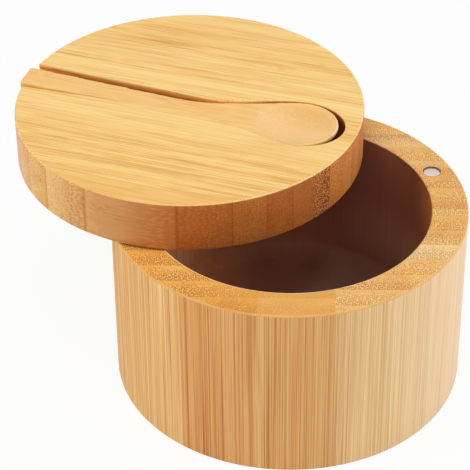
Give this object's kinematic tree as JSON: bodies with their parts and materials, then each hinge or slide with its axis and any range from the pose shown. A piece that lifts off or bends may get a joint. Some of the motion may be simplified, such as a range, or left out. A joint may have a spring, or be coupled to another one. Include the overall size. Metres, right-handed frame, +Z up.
{
  "type": "salt box",
  "caption": "Round laminated bamboo salt box: a thick lid swivels aside on a pin in the rim, a magnet catch holds it shut, and a spoon lies in a slot in the lid.",
  "frame": {"origin": "centre of the box's flat underside", "axes": "+Z up along the box's axis; the lid's pivot pin is at -X and the magnet catch at +X"},
  "size_m": [0.1177, 0.1355, 0.0709],
  "materials": {
    "base_bamboo": "laminated bamboo, strips upright, fine-sanded and oiled; the chamber is darker",
    "lid_bamboo": "laminated bamboo, strips lying along the spoon, fine-sanded and oiled",
    "spoon_bamboo": "bamboo, grain along the handle, fine-sanded",
    "pin_steel": "ground steel",
    "washer_nylon": "plain nylon",
    "magnet_nickel": "nickel plate, slightly dulled"
  },
  "bodies": {
    "box": {"base_body": "base_bamboo", "rim_magnet": "magnet_nickel", "pivot_pin": "pin_steel", "spacer_washer": "washer_nylon"},
    "lid": {"lid": "lid_bamboo", "lid_magnet": "magnet_nickel"},
    "spoon": {"spoon": "spoon_bamboo"}
  },
  "joints": [
    {"name": "lid_swivel", "type": "hinge", "parent": "box", "child": "lid", "pos_m": [-0.0445, 0, 0.0545], "axis": [0, 0, 1], "continuous": true},
    {"name": "spoon_lift", "type": "slide", "parent": "lid", "child": "spoon", "axis": [0, 0, 1], "range_m": [0, 0.04]}
  ]
}
